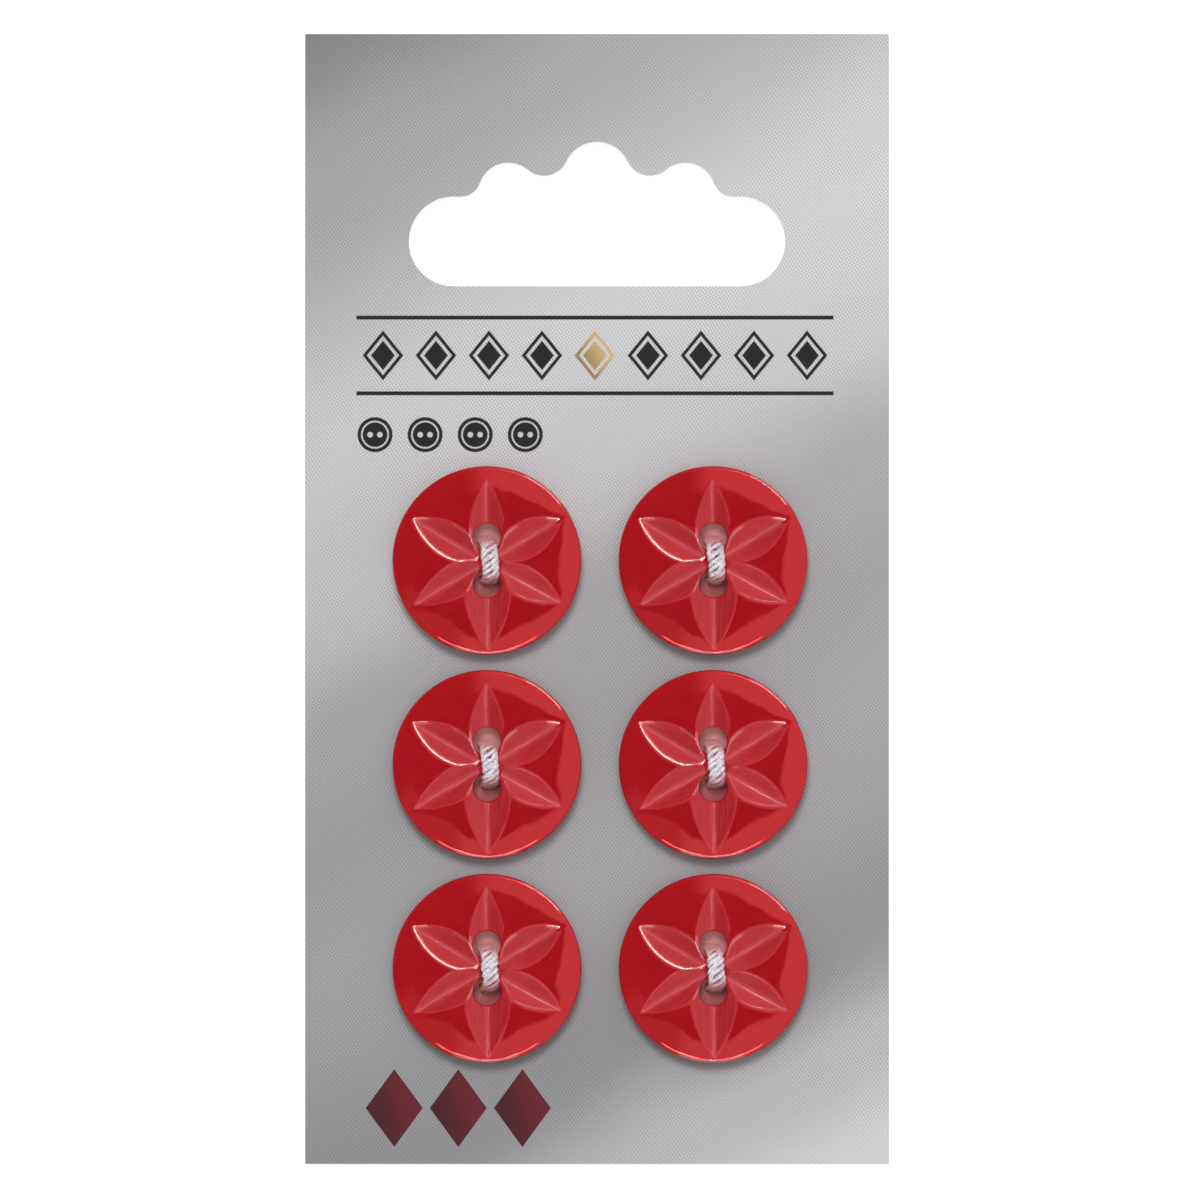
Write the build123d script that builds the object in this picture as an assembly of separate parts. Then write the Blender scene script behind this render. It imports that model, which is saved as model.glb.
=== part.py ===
from build123d import *
import math
import os

os.makedirs("parts", exist_ok=True)

# The card lies on its back, hang slot towards +Y, printed side up.
# The origin is under the middle of the card, at the level on which the back stitches rest.

# Backing card, a stiff board cut square
card_width = 50.1
card_height = 97.0
card_thickness = 0.5

# Hang slot, measured down from the top edge of the card and sideways from its middle
slot_floor_drop = 21.65
lobe_radius = 3.85
lobe_reach = 12.3
side_hump_radius = 2.6
side_hump_reach = 7.6
side_hump_drop = 11.05
middle_hump_radius = 2.9
middle_hump_drop = 9.25
valley_radius = 2.1
shoulder_radius = 1.75

# Places of the buttons: two columns and three rows
first_row_drop = 45.2
row_pitch = 17.49
column_pitch = 19.4
columns_shift = 0.26
row_names = ("top", "middle", "bottom")
column_names = ("left", "right")

# Button, round with a flat back, a low domed face and an upright rim eased on both sides
button_diameter = 16.2
button_thickness = 2.5
dome_rise = 0.45
rim_ease = 0.2
back_bevel = 0.4
hole_diameter = 2.4
hole_spacing = 4.0

# Star of six petals, each a groove sunk by the edge of a V-shaped cutting wheel
petal_count = 6
petal_first_angle = 30
petal_middle = 2.7
petal_depth = 0.6
wheel_radius = 35.0
wheel_wall_angle = 19.5
star_drop = 0.2

# Thread, doubled: two strands pressed side by side, each drawn with six flats
strand_width = 0.72
strand_sides = 6
thread_turn = 4.5
stitch_half_length = 1.72
front_bend = 0.95
thread_clearance = 0.03
bridge_clearance = 0.05

# Knot that ties the strands behind the card, with its two trimmed ends
knot_thickness = 1.2
knot_width = 2.1
knot_ease = 0.25
end_length = 2.6
end_turn = 28

# Levels, from the stitches up
card_back = knot_thickness + thread_clearance
card_front = card_back + card_thickness
button_back = card_front

strand_height = strand_width / math.cos(math.pi / strand_sides)
card_top_edge = card_height / 2
button_radius = button_diameter / 2
dome_edge = button_radius - rim_ease
dome_radius = (dome_edge**2 + dome_rise**2) / (2 * dome_rise)


def tangent_centre(first, first_radius, second, second_radius, radius):
    """Centre of the circle of that radius that touches two circles from outside, on their upper side."""
    reach_a = first_radius + radius
    reach_b = second_radius + radius
    line = second - first
    span = line.length
    along = (reach_a**2 - reach_b**2 + span**2) / (2 * span)
    aside = math.sqrt(reach_a**2 - along**2)
    way = line / span
    up = Vector(-way.Y, way.X)
    if up.Y < 0:
        up = -up
    return first + way * along + up * aside


def hang_slot():
    """Slot outline: two round lobes, a flat floor, and three humps joined by hollow arcs."""
    lobe = Vector(lobe_reach, card_top_edge - slot_floor_drop + lobe_radius)
    side_hump = Vector(side_hump_reach, card_top_edge - side_hump_drop - side_hump_radius)
    middle_hump = Vector(0, card_top_edge - middle_hump_drop - middle_hump_radius)
    shoulder = tangent_centre(side_hump, side_hump_radius, lobe, lobe_radius, shoulder_radius)
    valley = tangent_centre(middle_hump, middle_hump_radius, side_hump, side_hump_radius, valley_radius)

    def touch(near, near_radius, far):
        return near + (far - near).normalized() * near_radius

    def arc(centre, radius, before, after):
        way = ((before - centre).normalized() + (after - centre).normalized()).normalized()
        return ThreePointArc(before, centre + way * radius, after)

    floor_end = lobe - Vector(0, lobe_radius)
    lobe_top = touch(lobe, lobe_radius, shoulder)
    hump_foot = touch(side_hump, side_hump_radius, shoulder)
    hump_crest = touch(side_hump, side_hump_radius, valley)
    middle_foot = touch(middle_hump, middle_hump_radius, valley)
    middle_crest = middle_hump + Vector(0, middle_hump_radius)

    right_half = [
        ThreePointArc(floor_end, lobe + Vector(lobe_radius, 0), lobe_top),
        arc(shoulder, shoulder_radius, lobe_top, hump_foot),
        arc(side_hump, side_hump_radius, hump_foot, hump_crest),
        arc(valley, valley_radius, hump_crest, middle_foot),
        arc(middle_hump, middle_hump_radius, middle_foot, middle_crest),
    ]
    left_half = [edge.mirror(Plane.YZ) for edge in right_half]
    floor = Line(Vector(-floor_end.X, floor_end.Y), floor_end)
    return make_face(Wire([floor] + right_half + left_half))


def button_places():
    """Name and middle of each button, row by row from the slot down."""
    places = {}
    for row, row_name in enumerate(row_names):
        for column, column_name in enumerate(column_names):
            x = columns_shift + (column - 0.5) * column_pitch
            y = card_top_edge - first_row_drop - row * row_pitch
            places[row_name + "_" + column_name] = (x, y)
    return places


def backing_card():
    """The board with its hang slot, and two slits for the strands behind each button."""
    slit = Rectangle(2 * (strand_width + thread_clearance), strand_height + 2 * thread_clearance)
    outline = Rectangle(card_width, card_height) - hang_slot()
    for x, y in button_places().values():
        for side in (-1, 1):
            outline -= Pos(x, y) * Rot(0, 0, thread_turn) * Pos(0, side * stitch_half_length) * slit
    return Pos(0, 0, card_back) * extrude(outline, card_thickness)


def dome_level(distance):
    """Height of the domed face at a distance from the button's middle."""
    return button_thickness - dome_radius + math.sqrt(dome_radius**2 - distance**2)


def button_blank():
    """Turned form of the button before its holes and petals."""
    crown = (0, 0, button_thickness)
    dome_foot = (dome_edge, 0, button_thickness - dome_rise)
    half_way = math.sin(math.asin(dome_edge / dome_radius) / 2) * dome_radius
    profile = make_face(
        Polyline(
            crown,
            (0, 0, 0),
            (button_radius - back_bevel, 0, 0),
            (button_radius, 0, back_bevel),
            (button_radius, 0, button_thickness - dome_rise - rim_ease),
            dome_foot,
        ).edges()
        + [ThreePointArc(dome_foot, (half_way, 0, dome_level(half_way)), crown)]
    )
    return revolve(profile, Axis.Z)


def petal_cutter():
    """Rim of the cutting wheel, standing where it sinks the petal that points along +X."""
    reach = 2 * petal_depth + dome_rise
    half_width = reach / math.tan(math.radians(wheel_wall_angle))
    section = make_face(
        Polyline(
            (wheel_radius, 0, 0),
            (wheel_radius - reach, half_width, 0),
            (wheel_radius - reach, -half_width, 0),
            close=True,
        )
    )
    wheel = revolve(section, Axis.Y)
    return Pos(petal_middle, 0, dome_level(petal_middle) - petal_depth + wheel_radius) * wheel


def button():
    """Star button with its back at z = 0."""
    body = button_blank()
    cutter = petal_cutter()
    for petal in range(petal_count):
        angle = petal_first_angle + petal * 360 / petal_count
        body -= Pos(0, -star_drop) * Rot(0, 0, angle) * cutter
    for side in (-1, 1):
        hole = Cylinder(hole_diameter / 2, 3 * button_thickness)
        body -= Pos(0, side * hole_spacing / 2) * hole
    return body


def face_level(x, y):
    """Height of the carved face at a place, the lowest of the dome and the walls of the petals."""
    slope = math.tan(math.radians(wheel_wall_angle))
    floor = dome_level(petal_middle) - petal_depth
    levels = [dome_level(math.hypot(x, y))]
    for petal in range(petal_count):
        angle = math.radians(petal_first_angle + petal * 360 / petal_count)
        along = x * math.cos(angle) + (y + star_drop) * math.sin(angle)
        aside = abs((y + star_drop) * math.cos(angle) - x * math.sin(angle))
        radius = wheel_radius - aside * slope
        levels.append(floor + wheel_radius - math.sqrt(radius**2 - (along - petal_middle) ** 2))
    return min(levels)


def bridge_level():
    """Highest point of the bridge between the holes, under the strands."""
    hole_radius = hole_diameter / 2
    aside = strand_width / 2
    edge = hole_spacing / 2 - math.sqrt(hole_radius**2 - aside**2)
    return max(face_level(x, y) for x in (-aside, 0, aside) for y in (-edge, 0, edge))


def strand_section():
    """One strand across, with a flat to each side."""
    return RegularPolygon(strand_width / 2, strand_sides, major_radius=False, rotation=180 / strand_sides)


def stitch_loop():
    """Both strands: out of the knot, up one hole, over the bridge, down the other and back to the knot."""
    low = card_back - thread_clearance - strand_height / 2
    high = button_back + bridge_level() + bridge_clearance + strand_height / 2
    start = knot_ease / 2
    route = FilletPolyline(
        (0, start, low),
        (0, stitch_half_length, low),
        (0, stitch_half_length, high),
        (0, -stitch_half_length, high),
        (0, -stitch_half_length, low),
        (0, -start, low),
        radius=[0, front_bend, front_bend, 0],
    )
    both = Pos(-strand_width / 2, 0) * strand_section() + Pos(strand_width / 2, 0) * strand_section()
    across = Plane(origin=route @ 0, x_dir=(1, 0, 0), z_dir=route % 0)
    return sweep(across * both, path=route, transition=Transition.RIGHT)


def knot():
    """Knot as a soft barrel across the strands, with the two trimmed ends of the thread."""
    along_x = Rot(0, 90, 0)
    turns = extrude(
        RegularPolygon(knot_thickness / 2, strand_sides, major_radius=False, rotation=180 / strand_sides),
        knot_width / 2,
        both=True,
    )
    turns = chamfer(turns.faces().filter_by(Axis.Z).edges(), knot_ease)
    tied = Pos(0, 0, card_back - thread_clearance - knot_thickness / 2) * along_x * turns
    low = card_back - thread_clearance - strand_height / 2
    end = along_x * extrude(strand_section(), end_length)
    for side in (0, 180):
        tied += Pos(0, 0, low) * Rot(0, 0, end_turn + side) * end
    return tied


def thread():
    """The doubled thread of one button, around the origin of that button."""
    return Rot(0, 0, thread_turn) * (knot() + stitch_loop())


def write(name, solid):
    export_step(solid, "parts/" + name + ".step")
    print(name, "volume", round(solid.volume, 2), "valid", solid.is_valid)


write("backing_card", backing_card())
star_button = button()
stitch = thread()
for place, (x, y) in button_places().items():
    write("button_" + place, Pos(x, y, button_back) * star_button)
    write("thread_" + place, Pos(x, y) * stitch)
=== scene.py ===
import functools
import math
import random

import bpy
import numpy as np
from mathutils.geometry import delaunay_2d_cdt
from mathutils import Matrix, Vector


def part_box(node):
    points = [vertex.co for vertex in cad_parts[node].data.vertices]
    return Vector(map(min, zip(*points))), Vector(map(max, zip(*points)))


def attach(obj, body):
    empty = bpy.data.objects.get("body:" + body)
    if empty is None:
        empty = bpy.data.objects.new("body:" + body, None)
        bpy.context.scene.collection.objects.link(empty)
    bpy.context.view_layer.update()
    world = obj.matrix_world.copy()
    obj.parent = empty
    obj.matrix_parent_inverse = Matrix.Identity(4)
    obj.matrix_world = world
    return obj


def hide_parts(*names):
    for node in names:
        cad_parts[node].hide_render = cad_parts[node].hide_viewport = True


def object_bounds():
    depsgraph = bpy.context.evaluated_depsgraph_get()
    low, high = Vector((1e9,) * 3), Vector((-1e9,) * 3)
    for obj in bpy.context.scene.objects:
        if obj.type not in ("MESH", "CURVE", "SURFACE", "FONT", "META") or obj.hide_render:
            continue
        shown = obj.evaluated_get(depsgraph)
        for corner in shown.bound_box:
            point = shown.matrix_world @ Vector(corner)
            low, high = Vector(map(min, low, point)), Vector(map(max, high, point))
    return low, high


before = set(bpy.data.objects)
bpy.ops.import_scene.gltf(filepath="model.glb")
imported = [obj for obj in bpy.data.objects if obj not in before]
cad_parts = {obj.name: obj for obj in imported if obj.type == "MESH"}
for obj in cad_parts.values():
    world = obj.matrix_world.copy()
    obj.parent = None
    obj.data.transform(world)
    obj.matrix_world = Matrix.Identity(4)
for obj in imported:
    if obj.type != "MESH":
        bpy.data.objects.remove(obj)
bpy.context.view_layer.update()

mm = 0.001  # sizes below are in millimetres
placeNames = [row + "_" + column for row in ("top", "middle", "bottom") for column in ("left", "right")]


def boxOf(node):
    low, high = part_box(node)
    return np.array(low) / mm, np.array(high) / mm


def softStep(value, low, high):  # 0 up to low, 1 from high
    share = np.clip((value - low) / (high - low), 0.0, 1.0)
    return share * share * (3 - 2 * share)


def mixed(pair, share):
    return pair[0] + (pair[1] - pair[0]) * share


def times(colour, factor):
    return tuple(factor * c for c in colour)


def meshPiece(name, points, faces, material, attributes=None):
    mesh = bpy.data.meshes.new(name)
    mesh.from_pydata((np.asarray(points) * mm).tolist(), [], faces)
    mesh.polygons.foreach_set("use_smooth", [True] * len(mesh.polygons))
    for key, values in (attributes or {}).items():
        wide = values.ndim == 2
        layer = mesh.attributes.new(key, "FLOAT_VECTOR" if wide else "FLOAT", "POINT")
        layer.data.foreach_set("vector" if wide else "value", values.astype(np.float32).ravel())
    mesh.materials.append(material)
    mesh.update()
    piece = bpy.data.objects.new(name, mesh)
    bpy.context.scene.collection.objects.link(piece)
    return piece


class Graph:
    # short calls for laying out the nodes of one material
    def __init__(self, owner):
        owner.use_nodes = True
        self.nodes = owner.node_tree.nodes
        self.links = owner.node_tree.links

    def feed(self, socket, value):
        if isinstance(value, bpy.types.NodeSocket):
            self.links.new(value, socket)
        elif socket.type == "RGBA" and len(value) == 3:
            socket.default_value = (*value, 1)
        else:
            socket.default_value = value

    def add(self, kind, inputs=None, out=0, **settings):
        node = self.nodes.new("ShaderNode" + kind)
        for key, value in settings.items():
            setattr(node, key, value)
        for key, value in (inputs or {}).items():
            self.feed(node.inputs[key], value)
        return node.outputs[out]

    def calc(self, operation, *values):
        node = self.nodes.new("ShaderNodeMath")
        node.operation = operation
        for socket, value in zip(node.inputs, values):
            self.feed(socket, value)
        return node.outputs[0]

    def step(self, value, low, high):
        parts = {"Value": value, "From Min": low, "From Max": high}
        return self.add("MapRange", parts, interpolation_type="SMOOTHSTEP")

    def blend(self, share, first, second):
        return self.add("Mix", {0: share, 6: first, 7: second}, out=2, data_type="RGBA")

    def scaled(self, vector, factor):
        return self.add("VectorMath", {0: vector, "Scale": factor}, operation="SCALE")

    def place(self):  # place on the piece in millimetres
        return self.scaled(self.add("TexCoord", out=3), 1 / mm)

    def mark(self, name):  # number that the mesh carries
        return self.add("Attribute", out=2, attribute_name=name)

    def axes(self, vector):
        node = self.nodes.new("ShaderNodeSeparateXYZ")
        self.links.new(vector, node.inputs[0])
        return node.outputs

    def noise(self, vector, scale, detail=2.0, roughness=0.5):
        parts = {"Vector": vector, "Scale": scale, "Detail": detail, "Roughness": roughness}
        return self.add("TexNoise", parts)

    def ramp(self, value, stops):
        node = self.nodes.new("ShaderNodeValToRGB")
        node.color_ramp.interpolation = "EASE"
        bar = node.color_ramp.elements
        while len(bar) < len(stops):
            bar.new(0.5)
        for item, (place, colour) in zip(bar, stops):
            item.position = place
            item.color = (*colour, 1)
        self.links.new(value, node.inputs[0])
        return node.outputs[0]

    def both(self, *masks):
        return functools.reduce(lambda one, two: self.calc("MULTIPLY", one, two), masks)

    def either(self, *masks):
        return functools.reduce(lambda one, two: self.calc("MAXIMUM", one, two), masks)

    def inverse(self, mask):
        return self.calc("SUBTRACT", 1.0, mask)

    def finish(self, colour, rough, height, relief, more):  # relief: how high in millimetres, how strong
        parts = {"Distance": relief[0] * mm, "Strength": relief[1], "Height": height}
        settings = {"Base Color": colour, "Roughness": rough, "Normal": self.add("Bump", parts), **more}
        for name, value in settings.items():
            self.feed(self.nodes["Principled BSDF"].inputs[name], value)


# Card: silver print that swells and fades aslant, with a fine screen, rules, lozenges and small button signs
cardLook = {
    # brightness of the silver along a slanted line, from the upper left corner to the lower right one
    "sheenStops": ((0.0, 0.221), (0.11, 0.392), (0.30, 0.605), (0.40, 0.546), (0.50, 0.373),
                   (0.585, 0.334), (0.67, 0.352), (0.83, 0.266), (0.91, 0.448), (1.0, 0.583)),
    "sheenSlant": 0.5,
    "sheenTint": (1.0, 0.996, 1.03),
    "sheenDrift": 6.0,  # how far it wanders off that line
    "driftScale": 0.05,
    "screenPitch": 0.24,
    "screenTurn": 33,
    "screenCross": 0.7,  # strength of the crossing lines against the first ones
    "screenDepth": 0.2,
    "screenPatches": 0.6,  # how much of that depth comes and goes
    "patchScale": 0.16,
    "patchRange": (0.25, 0.6),
    "mottleScale": 1.3,
    "mottleDepth": 0.05,
    "leftShade": 0.003,  # a little darker to the left
    "charcoal": (0.006, 0.0045, 0.005),
    "gold": (0.42, 0.29, 0.13),
    "goldRange": (0.72, 1.55),
    "goldSlant": 0.6,
    "goldReach": 1.6,
    "maroon": (0.055, 0.0015, 0.006),
    "satinRise": 2.1,
    "satinWaves": (0.9, 0.35),
    "board": (0.60, 0.59, 0.56),
    "boardRange": (0.86, 1.1),
    "fibreScale": 3.5,
    "edgeBandColour": (0.16, 0.155, 0.14),
    "edgeBandShare": 0.35,
    "edgeBandWidth": 0.1,
    "edgeBandFade": 0.06,
    "printRoughness": 0.40,
    "mottleRoughness": 0.08,
    "inkPolish": 0.1,
    "boardRoughness": 0.85,
    "relief": (0.04, 0.5),
    "grainInPrint": 0.1,
    "specular": 0.3,
    # painted red light that the buttons let through and painted shade, seen in their holes, from the lower
    # hole to the upper one
    "glow": ((0.0, (0.37, 0.10, 0.10)), (0.2, (0.44, 0.13, 0.13)), (0.33, (0.95, 0.42, 0.40)),
             (0.70, (0.66, 0.28, 0.265)), (0.84, (0.80, 0.36, 0.335)), (1.0, (1.0, 0.56, 0.53))),
    "glowLength": 6.4,
    "glowReach": 3.7,
    "edgeSoft": 0.04,  # how softly the printed shapes end
    "titlePlace": (-0.17, 20.9),
    "titleCount": 9,
    "titlePitch": 4.55,
    "titleLozenge": (1.75, 2.15),
    "lozengeCore": 0.59,  # shares of the lozenge, between which it is bare
    "lozengeRim": 0.79,
    "lozengeSoft": 0.03,
    "ruleReach": 3.25,
    "ruleHalf": 0.17,
    "signPlace": (-12.6, 14.1),
    "signCount": 4,
    "signPitch": 4.3,
    "signRadius": 1.5,
    "signRing": (1.13, 0.07),
    "signHole": (0.42, 0.24),
    "diamondPlace": (-11.9, -43.7),
    "diamondCount": 3,
    "diamondPitch": 5.5,
    "diamondReach": (2.45, 3.35),
    "diamondSoft": 0.015,
}


def within(g, value, reach):  # 1 up to that distance on both sides
    soft = cardLook["edgeSoft"]
    return g.step(g.calc("ABSOLUTE", value), reach + soft, reach - soft)


def centred(g, x, y, place):
    return g.calc("SUBTRACT", x, place[0]), g.calc("SUBTRACT", y, place[1])


def inRow(g, value, pitch, count):  # place inside one cell of a row
    shift = pitch / 2 if count % 2 else 0.0
    cell = g.calc("FLOORED_MODULO", g.calc("ADD", value, shift), pitch)
    return g.calc("SUBTRACT", cell, pitch / 2)


def lozenge(g, x, y, halfWidth, halfHeight):  # 0 in its middle, 1 on its outline
    across = g.calc("DIVIDE", g.calc("ABSOLUTE", x), halfWidth)
    return g.calc("ADD", across, g.calc("DIVIDE", g.calc("ABSOLUTE", y), halfHeight))


def distance(g, x, y):
    return g.calc("SQRT", g.calc("ADD", g.calc("MULTIPLY", x, x), g.calc("MULTIPLY", y, y)))


def disc(g, far, radius):
    soft = cardLook["edgeSoft"]
    return g.step(far, radius + soft, radius - soft)


def sheenPrint(g, place, x, y):
    # silver that runs along one slanted direction
    look = cardLook
    low, high = boxOf("backing_card")
    span = high[1] - low[1] + look["sheenSlant"] * (high[0] - low[0])
    start = high[1] - look["sheenSlant"] * low[0]
    along = g.calc("SUBTRACT", g.calc("MULTIPLY_ADD", x, look["sheenSlant"], start), y)
    drift = g.noise(place, look["driftScale"], 1.0)
    along = g.calc("ADD", along, g.calc("MULTIPLY_ADD", drift, look["sheenDrift"], -look["sheenDrift"] / 2))
    stops = [(at, times(look["sheenTint"], level)) for at, level in look["sheenStops"]]
    return g.ramp(g.calc("DIVIDE", along, float(span)), stops)


def screenPrint(g, place, x, y, mottle):
    # fine crossed screen, in patches, as a factor of the silver
    look = cardLook
    turn = math.radians(look["screenTurn"])
    waves = []
    for a, b in ((math.cos(turn), math.sin(turn)), (-math.sin(turn), math.cos(turn))):
        way = g.calc("ADD", g.calc("MULTIPLY", x, a), g.calc("MULTIPLY", y, b))
        waves.append(g.calc("COSINE", g.calc("MULTIPLY", way, 2 * math.pi / look["screenPitch"])))
    screen = g.calc("ADD", waves[0], g.calc("MULTIPLY", waves[1], look["screenCross"]))
    patches = g.step(g.noise(place, look["patchScale"], 1.0), *look["patchRange"])
    varied = look["screenDepth"] * look["screenPatches"]
    depth = g.calc("MULTIPLY_ADD", patches, varied, look["screenDepth"] - varied)
    factor = g.calc("MULTIPLY_ADD", screen, depth, 1.0)
    grey = g.calc("MULTIPLY_ADD", mottle, look["mottleDepth"], 1 - look["mottleDepth"] / 2)
    factor = g.calc("MULTIPLY", factor, grey)
    return g.calc("MULTIPLY", factor, g.calc("MULTIPLY_ADD", x, look["leftShade"], 1.0))


def titlePrint(g, x, y):
    # two rules with a row of lozenges, the middle one gold: dark mask, gold mask and gold
    look = cardLook
    tx, ty = centred(g, x, y, look["titlePlace"])
    soft, core, rim = look["lozengeSoft"], look["lozengeCore"], look["lozengeRim"]
    size = lozenge(g, inRow(g, tx, look["titlePitch"], look["titleCount"]), ty, *look["titleLozenge"])
    outline = g.both(g.step(size, rim - soft, rim + soft), g.step(size, 1 + soft, 1 - soft))
    solid = g.either(g.step(size, core + soft, core - soft), outline)
    middle = within(g, tx, look["titlePitch"] / 2)
    wide = within(g, tx, look["titleCount"] * look["titlePitch"] / 2)
    rules = within(g, g.calc("SUBTRACT", g.calc("ABSOLUTE", ty), look["ruleReach"]), look["ruleHalf"])
    row = g.both(solid, wide)
    dark = g.either(g.both(row, g.inverse(middle)), g.both(rules, wide))
    aslant = g.calc("ADD", tx, g.calc("MULTIPLY", ty, look["goldSlant"]))
    lit = g.step(aslant, -look["goldReach"], look["goldReach"])
    gold = g.blend(lit, *[times(look["gold"], factor) for factor in look["goldRange"]])
    return dark, g.both(row, middle), gold


def signPrint(g, x, y):
    # row of small round buttons with two holes
    look = cardLook
    sx, sy = centred(g, x, y, look["signPlace"])
    cx = inRow(g, sx, look["signPitch"], look["signCount"])
    far = distance(g, cx, sy)
    ringRadius, ringHalf = look["signRing"]
    holeReach, holeRadius = look["signHole"]
    ring = within(g, g.calc("SUBTRACT", far, ringRadius), ringHalf)
    fromHole = distance(g, g.calc("SUBTRACT", g.calc("ABSOLUTE", cx), holeReach), sy)
    holes = disc(g, fromHole, holeRadius)
    signs = g.both(disc(g, far, look["signRadius"]), g.inverse(ring), g.inverse(holes))
    return g.both(signs, within(g, sx, look["signCount"] * look["signPitch"] / 2))


def diamondPrint(g, x, y):
    # maroon lozenges with a satin fade in the lower corner
    look = cardLook
    dx, dy = centred(g, x, y, look["diamondPlace"])
    cell = inRow(g, dx, look["diamondPitch"], look["diamondCount"])
    size = lozenge(g, cell, dy, *look["diamondReach"])
    mask = g.both(g.step(size, 1 + look["diamondSoft"], 1 - look["diamondSoft"]),
                  within(g, dx, look["diamondCount"] * look["diamondPitch"] / 2))
    wave = g.calc("MULTIPLY_ADD", cell, look["satinWaves"][0], g.calc("MULTIPLY", dy, look["satinWaves"][1]))
    fade = g.calc("MULTIPLY_ADD", g.calc("SINE", wave), 0.5, 0.5)
    return mask, g.blend(fade, look["maroon"], times(look["maroon"], look["satinRise"]))


def paintedButtonLight(g, x, y):
    # round each pair of holes the card is painted with the red light and the shade of the button above it
    look = cardLook
    corners = [boxOf("button_" + name) for name in ("top_left", "bottom_right")]
    (left, top), (right, bottom) = [(a + b)[:2] / 2 for a, b in corners]
    columnPitch, rowPitch = float(right - left), float(top - bottom) / 2
    gx, gy = centred(g, x, y, (float(left + right) / 2, float(top + bottom) / 2))
    bx, by = inRow(g, gx, columnPitch, 2), inRow(g, gy, rowPitch, 3)
    near = g.both(disc(g, distance(g, bx, by), look["glowReach"]),
                  within(g, gy, rowPitch + look["glowReach"]),
                  within(g, gx, columnPitch / 2 + look["glowReach"]))
    return near, g.ramp(g.calc("MULTIPLY_ADD", by, 1 / look["glowLength"], 0.5), look["glow"])


def cardMaterial():
    look = cardLook
    material = bpy.data.materials.new("card_print")
    g = Graph(material)
    place = g.place()
    x, y, _ = g.axes(place)
    mottle = g.noise(place, look["mottleScale"], 3.0)
    factor = screenPrint(g, place, x, y, mottle)
    dark, golden, gold = titlePrint(g, x, y)
    dark = g.either(dark, signPrint(g, x, y))
    gem, satin = diamondPrint(g, x, y)
    front = g.blend(dark, g.scaled(sheenPrint(g, place, x, y), factor), look["charcoal"])
    front = g.blend(golden, front, gold)
    front = g.blend(gem, front, satin)

    # the print is darker in a thin band along the long edges, the cut edge shows the board, and the back is
    # bare board
    fibre = g.noise(place, look["fibreScale"], 5.0, 0.7)
    board = g.blend(fibre, *[times(look["board"], share) for share in look["boardRange"]])
    facing = g.step(g.axes(g.add("NewGeometry", out=1))[2], 0.35, 0.65)
    edge = float(boxOf("backing_card")[1][0]) - look["edgeBandWidth"]
    edgeBand = g.step(g.calc("SUBTRACT", edge, g.calc("ABSOLUTE", x)), 0.0, -look["edgeBandFade"])
    front = g.blend(g.calc("MULTIPLY", edgeBand, look["edgeBandShare"]), front, look["edgeBandColour"])
    colour = g.blend(facing, board, front)

    # the red light and shade in the buttons' holes are painted on the card
    near, paintedLight = paintedButtonLight(g, x, y)
    paintedLight = g.scaled(paintedLight, g.calc("MULTIPLY_ADD", factor, 0.5, 0.5))
    colour = g.blend(g.both(near, facing), colour, paintedLight)
    rough = g.calc("MULTIPLY_ADD", mottle, look["mottleRoughness"], look["printRoughness"])
    rough = g.calc("SUBTRACT", rough, g.calc("MULTIPLY", g.either(dark, golden, gem), look["inkPolish"]))
    rough = g.add("Mix", {0: facing, 2: look["boardRoughness"], 3: rough})
    grain = g.calc("MULTIPLY", fibre, g.calc("MULTIPLY_ADD", facing, look["grainInPrint"] - 1, 1.0))
    g.finish(colour, rough, grain, look["relief"], {"Specular IOR Level": look["specular"]})
    return material


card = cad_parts["backing_card"]
card.data.materials.clear()
card.data.materials.append(cardMaterial())
print("card printed")


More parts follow.
